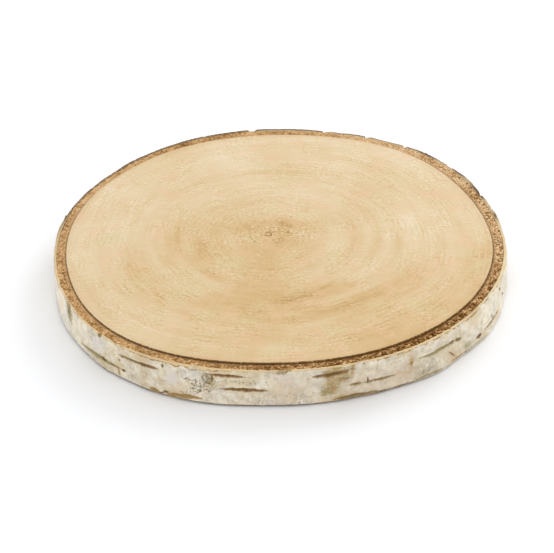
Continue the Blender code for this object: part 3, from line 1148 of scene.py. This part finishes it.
@dataclass(frozen=True)
class Lenticel:
    """A breathing slit across the bark, lens-shaped and sunk, with a raised lip.

    Its ends are pointed where its taper is 1, and blunter the less that is.
    """

    bearing: float
    height: float
    length: float
    width: float
    tint: Tint = Tint.BROWN
    slope: float = 0.0
    depth: float = 0.4
    taper: float = 0.55

    def inside(self, along: Array, across: Array) -> Array:
        """How far inside the slit places are, in millimetres, negative outside it.

        Args:
            along: Their distances along the wall from the slit's middle.
            across: Their heights above it.

        Returns:
            The distance to the slit's outline.
        """
        share = np.clip(along / self.length + 0.5, 0.0, 1.0)
        half = 0.5 * self.width * np.sin(np.pi * share) ** self.taper
        beyond = np.maximum(np.abs(along) - 0.5 * self.length, 0.0)
        return half - np.hypot(across - self.slope * along, beyond)


@dataclass(frozen=True)
class Blotch:
    """A stained patch of the wall, strongest in its middle."""

    bearing: float
    height: float
    length: float
    tall: float
    strength: float
    slope: float = 0.0

    def share(self, along: Array, across: Array) -> Array:
        """How stained places are, from 0 to the blotch's strength."""
        lift = (across - self.slope * along) / self.tall
        return self.strength * np.exp(-((2.0 * along / self.length) ** 2) - (2.0 * lift) ** 2)


@dataclass(frozen=True)
class Chip:
    """A bit broken out of the paper at a sawn edge, with blunt ends and a notched edge.

    The less its taper is, the blunter its ends are.
    """

    bearing: float
    length: float
    height: float
    taper: float = 0.6
    notching: float = 0.28

    def bite(self, stem: Stem, bearing: Array) -> Array:
        """How much of the chip's full height is gone.

        Args:
            stem: The stem.
            bearing: Bearings round it.

        Returns:
            The share at each, zero outside the chip.
        """
        share = stem.along(bearing, self.bearing) / self.length + 0.5
        swell = np.sin(np.pi * np.clip(share, 0.0, 1.0)) ** self.taper
        return swell * (1.0 - self.notching + self.notching * np.sin(9.0 * share + self.bearing))


CHIPS = {
    Face.UPPER: (
        Chip(97.5, 6.0, 2.4), Chip(76.8, 4.0, 1.4), Chip(65.0, 3.0, 1.6), Chip(53.8, 4.0, 1.6),
        Chip(38.0, 4.5, 1.2), Chip(21.8, 5.0, 1.8), Chip(14.5, 3.5, 1.4), Chip(203.0, 7.0, 1.0),
        Chip(232.0, 9.0, 1.0),
    ),
    Face.LOWER: (Chip(118.0, 12.0, 2.6),),
}

# Bearing, height, length, width, tint if not brown, slope. A later one lies over the
# earlier ones, so a dark core comes after the paler slit that it is in
LENTICELS = tuple(Lenticel(*row) for row in (
    # The long one of the front left, with its dark core and knot
    (225.0, 5.8, 30.0, 2.8, Tint.OLIVE, 0.07), (226.8, 6.2, 4.4, 2.6),
    (230.7, 6.5, 7.5, 1.4, Tint.UMBER, 0.05), (233.4, 6.4, 2.6, 1.9),
    (226.3, 19.0, 2.4, 1.8, Tint.UMBER), (232.4, 11.4, 0.8, 2.4, Tint.UMBER),
    (236.2, 14.5, 15.5, 1.8, Tint.UMBER), (239.8, 14.6, 12.0, 2.1), (243.9, 17.0, 0.9, 3.0, Tint.UMBER),
    # The tan scar at the foot, and the pair that faces the front
    (241.6, 2.2, 5.0, 2.7, Tint.TAN), (249.0, 2.8, 16.0, 2.6, Tint.TAN, 0.07),
    (245.8, 1.8, 5.0, 2.2, Tint.TAN), (243.8, 2.0, 7.0, 0.9, Tint.BROWN, 0.45), (244.4, 2.7, 2.6, 1.8),
    (258.2, 16.6, 17.5, 1.8), (262.1, 9.4, 21.5, 2.1), (271.0, 18.6, 6.5, 0.7, Tint.UMBER),
    # The knot's ring
    (255.1, 14.4, 1.1, 4.8, Tint.UMBER), (254.1, 16.6, 4.2, 0.8, Tint.UMBER, -0.15),
    (253.0, 14.4, 0.7, 4.0, Tint.OLIVE), (254.2, 12.0, 3.6, 0.7, Tint.UMBER, 0.3),
    # The stained stretch
    (281.6, 16.1, 17.0, 2.2, Tint.BROWN, 0.07), (284.6, 12.8, 7.0, 1.0, Tint.UMBER),
    (285.8, 17.4, 7.0, 0.7, Tint.UMBER), (287.4, 8.6, 5.6, 1.7, Tint.UMBER),
    (293.4, 8.3, 16.5, 1.5, Tint.UMBER), (290.4, 9.4, 0.9, 3.6), (287.4, 2.1, 20.5, 2.3, Tint.UMBER),
    # The thin dark line that runs along the foot, drawn as slits
    (293.6, 1.5, 13.0, 1.1, Tint.UMBER, -0.02), (299.0, 1.4, 14.0, 0.9, Tint.UMBER),
    (307.6, 1.8, 22.0, 0.8, Tint.UMBER), (317.0, 1.9, 18.0, 0.7, Tint.UMBER),
    (325.0, 2.0, 16.0, 0.5, Tint.OLIVE, 0.04),
    # Front right and right
    (301.6, 11.4, 0.9, 3.6, Tint.TAN), (309.3, 12.4, 23.0, 2.3, Tint.OLIVE, -0.04),
    (311.0, 12.3, 11.0, 1.0, Tint.UMBER, -0.03), (314.3, 12.3, 4.2, 2.0, Tint.UMBER),
    (316.5, 11.7, 4.6, 2.2, Tint.UMBER, -0.2), (314.5, 5.4, 6.0, 1.1, Tint.UMBER, -0.96),
    (325.1, 4.8, 5.4, 1.9), (331.5, 6.0, 19.0, 1.2, Tint.UMBER), (335.4, 5.6, 4.0, 1.1, Tint.UMBER),
    (338.3, 15.6, 3.8, 1.8, Tint.UMBER, -0.66), (341.8, 8.8, 4.2, 1.8, Tint.UMBER, -0.6),
))

# Stained patches: bearing, height, length, how tall, strength and, if askew, slope. Those
# from 0 to 200 degrees are on the far side, which the photograph doesn't show
BLOTCHES = {
    Stain.BLOOM: (
        (224.4, 11.5, 6.0, 11.0, 1.3), (246.0, 11.5, 7.0, 10.0, 1.4),
    ),
    Stain.BLUSH: (
        (239.5, 17.2, 11.0, 3.5, 1.2), (246.5, 3.8, 16.0, 3.4, 0.9), (252.0, 7.0, 30.0, 10.0, 0.5),
        (256.5, 18.6, 9.0, 3.0, 1.2), (271.0, 9.0, 20.0, 30.0, 0.65), (289.0, 8.0, 56.0, 30.0, 0.6),
        (299.0, 7.0, 14.0, 12.0, 0.6), (301.3, 14.0, 4.0, 14.0, 0.7), (314.8, 4.8, 9.0, 8.0, 1.2),
        (331.0, 4.6, 22.0, 3.0, 0.8),
        (50.0, 5.0, 50.0, 8.0, 0.6), (165.0, 12.0, 50.0, 8.0, 0.7),
    ),
    Stain.SAGE: (
        (211.6, 14.0, 9.0, 14.0, 1.2), (226.4, 3.2, 17.0, 4.0, 0.55), (239.8, 8.5, 7.0, 13.0, 0.6),
        (246.4, 1.2, 8.0, 2.6, 1.3), (254.6, 13.8, 5.0, 8.0, 0.8), (262.5, 13.4, 20.0, 4.0, 0.6),
        (280.8, 7.2, 9.0, 7.5, 1.2), (295.5, 17.8, 9.0, 3.0, 0.6), (307.0, 4.0, 13.0, 6.0, 0.7),
        (310.5, 12.4, 34.0, 4.6, 0.5), (320.3, 4.8, 9.0, 5.0, 0.8), (332.0, 8.0, 3.0, 3.5, 1.0),
    ),
    Stain.MOSS: (
        (211.0, 18.5, 7.0, 5.0, 0.8), (211.4, 15.0, 6.5, 10.0, 0.8), (231.9, 4.2, 1.8, 8.0, 1.3),
        (239.4, 8.5, 7.5, 15.0, 0.75), (257.5, 16.8, 20.0, 3.4, 0.45), (270.0, 18.9, 11.0, 2.0, 0.7),
        (281.6, 9.5, 11.0, 13.0, 0.9), (283.0, 17.2, 17.0, 6.0, 1.2), (284.6, 12.6, 10.0, 5.0, 0.8),
        (286.6, 18.8, 1.6, 6.0, 1.4), (287.6, 2.4, 25.0, 4.2, 0.9), (290.8, 8.6, 26.0, 3.4, 0.5),
        (301.5, 12.4, 1.6, 5.0, 0.8), (302.0, 8.0, 20.0, 26.0, 0.45), (323.0, 19.2, 11.0, 3.0, 1.0),
        (20.0, 8.0, 26.0, 16.0, 0.8), (130.0, 6.0, 40.0, 10.0, 0.8),
    ),
    Stain.SOOT: (
        (211.8, 15.4, 6.0, 9.0, 1.9), (222.0, 11.0, 6.0, 12.0, 0.6), (231.0, 12.0, 18.0, 14.0, 0.5),
        (249.0, 16.0, 7.0, 4.0, 0.9), (249.6, 5.2, 8.0, 3.0, 1.2), (250.8, 11.2, 13.0, 2.2, 1.5, -0.57),
        (251.6, 9.2, 7.0, 7.0, 1.2), (254.2, 13.6, 5.0, 9.0, 1.3), (255.0, 10.0, 14.0, 14.0, 0.6),
        (262.0, 13.2, 20.0, 3.6, 0.9), (266.0, 4.0, 22.0, 8.0, 0.7), (275.0, 4.5, 12.0, 9.0, 0.7),
        (281.5, 10.0, 9.0, 9.0, 0.9),
        (75.0, 11.0, 60.0, 12.0, 0.8), (185.0, 9.0, 20.0, 14.0, 0.8),
    ),
}


@dataclass(frozen=True)
class PaperWall:
    """The white bark round the stem, from its ragged upper edge to its lower one."""

    stem: Stem
    columns: int = 1500
    wall_rows: int = 46
    # How finely the sawn edge is frayed, how rough its chips and how scalloped its tears are
    frays: tuple[Ripple, Ripple] = (Ripple(0.16, 1.4, 1.4, 6), Ripple(0.12, 1.0, 1.0, 7))
    chip_rough: Ripple = Ripple(0.5, 1.6, 1.6, 5)
    tear_broad: Ripple = Ripple(0.9, 10.0, 10.0, 1)
    scallops: tuple[Ripple, ...] = (Ripple(0.55, 3.4, 3.4, 2), Ripple(0.25, 1.3, 1.3, 3))
    # How much of the edges' raggedness the wall has too, and how far down that goes
    ragged_wall: float = 0.4
    ragged_reach: float = 7.0
    # How lenticels and stains waver, where layers flake, and the wall's fine wrinkles
    waver: tuple[Ripple, ...] = (Ripple(0.25, 3.0, 1.8, 11), Ripple(0.12, 1.1, 0.8, 12))
    layers: tuple[Ripple, ...] = (Ripple(1.0, 15.0, 4.5, 13), Ripple(0.35, 4.0, 1.8, 14))
    wrinkles: tuple[Ripple, ...] = (
        Ripple(0.10, 8.0, 2.2, 15), Ripple(0.05, 3.0, 0.9, 16), Ripple(0.03, 0.9, 0.9, 17),
    )
    # How thick a flaking layer is, and how far the lips of the lenticels stand up
    flake: float = 0.12
    slit_lip: float = 0.14
    # How far the outermost paper is torn back at least, and where it is further
    least_torn: float = 0.35
    tears: Bells = ((247.0, 17.0, 0.8), (305.0, 30.0, 0.5), (100.0, 50.0, 0.5))
    tear_depth: float = 0.35
    # Where the wall is whitest
    # Painted light: where the wall is lighter, chiefly on the left and the right where the light falls,
    # and a little darker in two places at the front
    painted_light_and_shade: Bells = (
        (205.0, 8.0, 4.2), (219.0, 3.5, 2.8), (190.0, 14.0, 2.4), (338.0, 13.0, 3.8),
        (306.0, 5.0, -1.6), (248.0, 4.0, 0.6), (272.0, 7.0, 0.3), (0.0, 16.0, 2.0),
        (286.0, 9.0, -0.7),
    )
    # Where the rim stands up as a thin dark lip: bearing, spread
    lip: tuple[float, float] = (100.0, 90.0)
    # Where the upper edge is dark right across, and where only beside the inner bark
    burnt: Bells = (
        (118.0, 3.5, 0.8), (104.0, 4.5, 0.8), (46.0, 2.5, 0.5), (34.0, 2.5, 0.3), (23.0, 3.5, 0.7),
        (10.0, 2.0, 0.4), (131.0, 6.0, 0.35), (142.0, 5.0, 0.5), (154.0, 4.5, 0.75),
        (167.0, 5.0, 0.6), (248.0, 14.0, 0.2), (283.0, 5.0, 0.12), (322.0, 5.0, 0.2),
    )
    seams: Bells = ((346.0, 60.0, 1.0), (168.0, 38.0, 1.0), (115.0, 30.0, 0.5))
    # The lower edge is darkened, a brown arris with painted contact shadow, but for the stretch
    # round this bearing, which shows its paper
    clean_foot: tuple[float, float] = (326.0, 28.0)
    far_side: tuple[float, float] = (350.0, 560.0)
    far_lenticels: int = 14
    far_seed: int = 7

    def far_side_lenticels(self) -> Iterator[Lenticel]:
        """Places lenticels round the back of the slice, clear of each other.

        Yields:
            Each of them.
        """
        draw = random.Random(self.far_seed)
        start, end = self.far_side
        step = (end - start) / self.far_lenticels
        heights = (5.0, 13.5, 9.0, 16.0)
        for number in range(self.far_lenticels):
            yield Lenticel(
                start + step * (number + 0.5) + draw.uniform(-0.2, 0.2) * step,
                heights[number % len(heights)] + draw.uniform(-1.2, 1.2),
                draw.uniform(8.0, 28.0),
                draw.uniform(1.1, 2.0),
                (Tint.BROWN, Tint.OLIVE, Tint.UMBER)[number % 3],
            )

    def torn_depth(self, bearing: Array) -> Array:
        """How much thinner the paper is where its outermost layer is torn back."""
        return self.tear_depth * (1.0 - 0.8 * bell(bearing, *self.lip))

    def tear(self, bearing: Array, face: Face) -> Array:
        """How far from a sawn face the outermost paper is torn back.

        Args:
            bearing: Bearings round the stem.
            face: The sawn face.

        Returns:
            Millimetres of height at each.
        """
        broad = np.abs(self.stem.rough(bearing, 0.0, self.tear_broad, shift=face.value))
        scallops = self.stem.rough(bearing, 0.0, *self.scallops, shift=face.value)
        torn = bells(bearing, self.tears)
        return self.least_torn + torn + (0.35 + 0.65 * torn) * (broad + scallops)

    def chipped(self, bearing: Array, face: Face) -> Array:
        """How far from a sawn face the paper is broken away.

        Args:
            bearing: Bearings round the stem.
            face: The sawn face.

        Returns:
            Millimetres of height at each, zero where no chip is.
        """
        gone = np.zeros(bearing.shape)
        for chip in CHIPS[face]:
            gone = np.maximum(gone, chip.height * chip.bite(self.stem, bearing))
        rough = self.stem.rough(bearing, 0.0, self.chip_rough, shift=face.value)
        return np.where(gone > 0.0, np.maximum(gone + rough, 0.0), 0.0)

    def edge_rows(self, bearing: Array, face: Face) -> tuple[Array, Array, Array]:
        """Rows over the paper's sawn edge, from its inner side out to the shoulder.

        Args:
            bearing: The columns' bearings.
            face: The sawn face.

        Returns:
            Radius, drop from the face and darkness, each a grid of 7 rows.
        """
        stem = self.stem
        inner = stem.inner_edge(bearing)
        ragged = stem.edge_noise(bearing, face)
        fray = 0.5 * ragged
        # The two are read at unlike heights
        for height, ripple in zip((0.0, 9.0), self.frays):
            fray += stem.rough(bearing, height, ripple, shift=face.value)
        rim = stem.wall(bearing, stem.level(0.5, face)) + self.ragged_wall * ragged
        rim -= self.torn_depth(bearing)
        if face is Face.UPPER:
            lip, burnt = bell(bearing, *self.lip), bells(bearing, self.burnt)
            seam = np.clip(bells(bearing, self.seams) + burnt, 0.2, 0.95)
            crest = np.minimum(0.85 * lip + burnt, 0.98)
        else:
            lip, seam = np.zeros(bearing.shape), np.full(bearing.shape, 0.3)
            # The foot's arris, darkened with painted contact shadow
            crest = 0.75 - 0.7 * bell(bearing, *self.clean_foot)
        ledge = inner + 0.35
        # Radius, drop, share of the fraying, darkness
        rows = (
            (inner - 0.2, 2.6, 0.0, seam),
            (inner - 0.05, 0.7, 0.2, seam),
            (inner + 0.15, 0.42, 0.5, 0.8 * seam),
            (ledge, 0.3 - 0.1 * lip, 0.9, np.maximum(0.4 * seam, 0.5 * crest)),
            (ledge + 0.25 * (rim - ledge), 0.28 - 0.2 * lip, 0.9, crest),
            (rim - 0.1, 0.5 - 0.4 * lip, 0.7, crest),
            (rim, 0.9 - 0.5 * lip, 0.6, 0.7 * crest),
        )
        shift = np.maximum(self.chipped(bearing, face) - 0.25, 0.0)
        grids = zip(*(
            (radius, np.maximum(drop + share * fray, 0.04) + shift, dark)
            for radius, drop, share, dark in rows
        ))
        radius, drop, dark = (np.concatenate(grid) for grid in grids)
        return radius, drop, dark

    def slits(self, bearing: Array, height: Array, waver: Array) -> tuple[Array, dict[str, Array]]:
        """The lenticels of the wall.

        Args:
            bearing: The columns' bearings.
            height: The grid's heights.
            waver: How far their outlines waver at each point.

        Returns:
            How deep the wall is sunk there, and their fields for the finish.
        """
        slit, groove = np.full(height.shape, NO_SLIT), np.zeros(height.shape)
        tints = np.zeros((2, *height.shape))
        for mark in (*LENTICELS, *self.far_side_lenticels()):
            across = height - mark.height + waver * min(1.0, 0.5 * mark.width)
            inside = mark.inside(self.stem.along(bearing, mark.bearing), across)
            # A later slit's tint lies over an earlier one's, but for its thin outline
            over = inside > np.minimum(slit, 0.25)
            tints = np.where(over, np.reshape(mark.tint.value, (2, 1, 1)), tints)
            slit = np.maximum(slit, inside)
            groove = np.maximum(groove, mark.depth * ease(-0.05, 0.45 * mark.width, inside))
        return groove, {"lenticel": slit, "olive": tints[0], "tan": tints[1]}

    def wall_grid(
        self, bearing: Array, top: Array, foot: Array,
    ) -> tuple[Array, Array, dict[str, Array]]:
        """The wall between its two edges.

        Args:
            bearing: The columns' bearings.
            top: Height of the upper shoulder at each.
            foot: Height of the lower one.

        Returns:
            Radius and height, each a grid, and the fields that the finish reads.
        """
        stem = self.stem
        share = np.linspace(0.0, 1.0, self.wall_rows + 2)[1:-1, None]
        height = top + share * (foot - top)
        waver = stem.rough(bearing, height, *self.waver)
        groove, fields = self.slits(bearing, height, waver)
        for stain, rows in BLOTCHES.items():
            fields[stain.value] = sum(
                blotch.share(stem.along(bearing, blotch.bearing), height - blotch.height + 2.0 * waver)
                for blotch in (Blotch(*row) for row in rows)
            )
        flake = ease(0.10, 0.16, stem.rough(bearing, height, *self.layers))
        ragged = np.zeros(height.shape)
        for face in Face:
            fade = np.clip(1.0 - stem.level(height, face) / self.ragged_reach, 0.0, 1.0)
            ragged += stem.edge_noise(bearing, face) * fade
        torn, torn_low = (self.tear(bearing, face) - stem.level(height, face) for face in Face)
        radius = stem.wall(bearing, height) + self.ragged_wall * ragged
        radius += stem.rough(bearing, height, *self.wrinkles) + self.flake * (flake - 0.5)
        radius += self.slit_lip * np.exp(-(((fields["lenticel"] + 0.3) / 0.35) ** 2)) - groove
        radius -= self.torn_depth(bearing) * ease(-0.08, 0.12, np.maximum(torn, torn_low))
        # The layer field is the flaking plus painted light and shade by bearing
        fields |= {"torn": torn, "layer": flake + bells(bearing, self.painted_light_and_shade)}
        return radius, height, fields

    def build(self, finish: bpy.types.Material) -> bpy.types.Object:
        """Builds the wall and dresses it.

        Args:
            finish: The white bark's material.

        Returns:
            The piece.
        """
        stem = self.stem
        bearing = all_round(self.columns)
        edges = {face: self.edge_rows(bearing, face) for face in Face}
        ends = {face: stem.level(drop[-1:], face) for face, (_, drop, _) in edges.items()}
        radius, height, fields = self.wall_grid(bearing, ends[Face.UPPER], ends[Face.LOWER])
        upper, lower = edges[Face.UPPER], [grid[::-1] for grid in edges[Face.LOWER]]
        radii = np.concatenate([upper[0], radius, lower[0]])
        heights = np.concatenate(
            [stem.level(upper[1], Face.UPPER), height, stem.level(lower[1], Face.LOWER)],
        )
        rows = len(upper[0])
        whole = {key: np.pad(grid, ((rows, rows), (0, 0)), mode="edge") for key, grid in fields.items()}
        whole["torn"][:rows - 1] = 1.0
        whole["dark"] = np.concatenate([upper[2], np.zeros(radius.shape), lower[2]])
        mesh = Skin()
        mesh.cover(stem.place(bearing, radii, heights), whole, ring=True)
        return mesh.piece("paper_bark", finish, Slot.PAPER_BARK)


@dataclass(frozen=True)
class Curl:
    """A loose end of paper, from its root on the wall to its free end.

    A negative length runs towards smaller bearings.
    """

    bearing: float
    length: float
    height: float
    lift: float
    thickness: float = 0.3
    root: float = 0.7


@dataclass(frozen=True)
class PaperCurls:
    """The loose ends of paper along the upper rim."""

    stem: Stem
    stations: int = 28
    across: int = 7
    below_rim: float = 0.45
    ripple: Ripple = Ripple(0.12, 2.5, 2.5, 21)
    slivers: int = 22
    seed: int = 5
    curls: tuple[Curl, ...] = (
        Curl(105.5, -13.0, 2.6, 1.2, 0.5), Curl(95.2, -9.5, 2.4, 1.5, 0.6), Curl(64.0, -8.0, 2.0, 0.8),
        Curl(52.5, -11.0, 2.6, 1.0), Curl(32.5, -9.0, 3.6, 1.1, 0.5), Curl(158.0, -8.0, 2.0, 1.0),
        Curl(173.0, -8.0, 2.2, 1.1), Curl(214.0, 6.5, 2.0, 0.6),
    )

    def all_curls(self) -> Iterator[Curl]:
        """Gives the named curls, then small slivers at seeded places round the rim.

        Yields:
            Each of them.
        """
        yield from self.curls
        draw = random.Random(self.seed)
        for number in range(self.slivers):
            bearing = 360.0 * (number + draw.uniform(0.1, 0.9)) / self.slivers
            length = draw.choice((-1.0, 1.0)) * draw.uniform(2.0, 5.0)
            yield Curl(bearing, length, draw.uniform(0.7, 1.6), draw.uniform(0.1, 0.5), 0.2, 0.5)

    def sheet(self, number: int, curl: Curl) -> tuple[Array, dict[str, Array | float]]:
        """The closed grid of one curl.

        Args:
            number: Its number, which varies its outline.
            curl: Its place and size.

        Returns:
            The points, and the fields that the finish reads.
        """
        stem = self.stem
        # A curl that runs the other way round has its rows the other way too
        share = np.linspace(0.0, 1.0, self.stations)[::-1 if curl.length < 0.0 else 1, None]
        up = np.linspace(0.0, 1.0, self.across)[None, :]
        bearing = curl.bearing + np.degrees(curl.length / stem.wood_mean) * share
        level = stem.thickness - self.below_rim - 0.5 * curl.height
        # It narrows to its free end, between two wavy edges
        half = 0.5 * curl.height * (1.0 - 0.75 * share ** 3)
        crest = level + half + 0.12 * curl.height * np.sin(6.0 * share + 0.4 * number)
        crest = np.minimum(crest, stem.thickness - 0.05)
        foot = level - half + 0.2 * curl.height * np.sin(5.0 * share + number)
        height = foot + up * (crest - foot)
        # It leaves the wall from inside it, and cups a little as it goes
        off = -curl.root + (curl.root + curl.lift - curl.thickness) * share ** 0.75
        off = off + stem.rough(bearing, height, self.ripple)
        off = off + 0.35 * curl.lift * share * (up - 0.3) ** 2
        wall = stem.wall(bearing, height) - 0.2 + off
        outer = wall + curl.thickness * (1.0 - 0.6 * share)
        # Up the outside and down the inside
        radius, heights, tip, inward = (
            np.concatenate([outside, inside[:, ::-1]], 1) for outside, inside in (
                (outer, wall), (height, height), (up, up), (np.zeros(up.shape), np.ones(up.shape)),
            )
        )
        fields = dict.fromkeys(WALL_FIELDS, 0.0) | {
            "lenticel": NO_SLIT, "torn": 2.0 * inward - 1.4, "layer": 1.0,
            "dark": 0.7 * ease(0.7, 1.0, tip) * bell(bearing, 90.0, 60.0) + 0.3 * inward,
        }
        return stem.place(bearing, radius, heights), fields

    def build(self, finish: bpy.types.Material) -> bpy.types.Object:
        """Builds the curls as one piece.

        Args:
            finish: The white bark's material.

        Returns:
            The piece.
        """
        mesh = Skin()
        for number, curl in enumerate(self.all_curls()):
            mesh.cover(*self.sheet(number, curl), ring=False)
        return mesh.piece("paper_curls", finish, Slot.PAPER_BARK)


@dataclass(frozen=True)
class Studio:
    """A white floor, white fill light all round and one large soft key light, in metres."""

    floor_size: float = 6.0
    floor_drop: float = 0.0002
    floor_colour: str = "#f5f6f8"
    camera_place: tuple[float, float, float] = (-0.00185, -0.63763, 0.4085)
    camera_target: tuple[float, float, float] = (-0.00185, -0.00863, 0.0)
    lens: float = 96.7
    sensor: float = 36.0
    sky: float = 1.04
    key_place: tuple[float, float, float] = (0.75, 1.1, 0.95)
    key_size: float = 0.9
    key_power: float = 6.5

    def aim(self, rig: bpy.types.Object, place: Sequence[float], target: Sequence[float]) -> None:
        """Puts a lamp or camera at a place and points it at a target.

        Args:
            rig: The lamp or camera.
            place: Where it stands.
            target: What it points at.
        """
        rig.location = place
        rig.rotation_euler = (Vector(target) - Vector(place)).to_track_quat("-Z", "Y").to_euler()
        bpy.context.scene.collection.objects.link(rig)

    def floor(self) -> None:
        """Builds the floor, which isn't part of the slice."""
        half = 0.5 * self.floor_size
        corners = [(-half, -half), (half, -half), (half, half), (-half, half)]
        mesh = bpy.data.meshes.new("floor")
        mesh.from_pydata([(x, y, -self.floor_drop) for x, y in corners], [], [(0, 1, 2, 3)])
        mix = Recipe("white_seamless_paper")
        mesh.materials.append(mix.dress(Base_Color=self.floor_colour, Roughness=0.95, IOR=1.4))
        floor = bpy.data.objects.new("floor", mesh)
        bpy.context.scene.collection.objects.link(floor)
        floor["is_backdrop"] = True

    def build(self) -> None:
        """Sets up the floor, the light and the camera."""
        scene = bpy.context.scene
        scene.view_settings.view_transform = "Standard"
        self.floor()
        world = bpy.data.worlds.new("white_surround")
        world.use_nodes = True
        background = world.node_tree.nodes["Background"]
        background.inputs["Color"].default_value = linear("#ffffff")
        background.inputs["Strength"].default_value = self.sky
        scene.world = world
        lamp = bpy.data.lights.new("key", "AREA")
        lamp.shape = "DISK"
        lamp.size = self.key_size
        lamp.energy = self.key_power
        self.aim(bpy.data.objects.new("key", lamp), self.key_place, (0.0, 0.0, 0.0))
        lens = bpy.data.cameras.new("camera")
        lens.lens = self.lens
        lens.sensor_width = self.sensor
        camera = bpy.data.objects.new("camera", lens)
        self.aim(camera, self.camera_place, self.camera_target)
        scene.camera = camera


def main() -> None:
    """Builds the slice piece by piece, then its studio, and measures both bounding boxes."""
    logging.basicConfig(level=logging.INFO, format="%(name)s: %(message)s")
    low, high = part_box(SLICE)
    stem = Stem(thickness=(high.z - low.z) / MM)
    white = WhitePaperBark().build()
    pieces = (
        WoodRound(stem).build(), InnerBarkRing(stem).build(),
        PaperWall(stem).build(white), PaperCurls(stem).build(white),
    )
    for piece in pieces:
        log.info("%s: %d faces", piece.name, len(piece.data.polygons))
    Studio().build()
    boxes = {"cad": CAD_BOX, "visual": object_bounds()}
    {key: [list(corner) for corner in box] for key, box in boxes.items()}


if __name__ == "__main__":
    main()
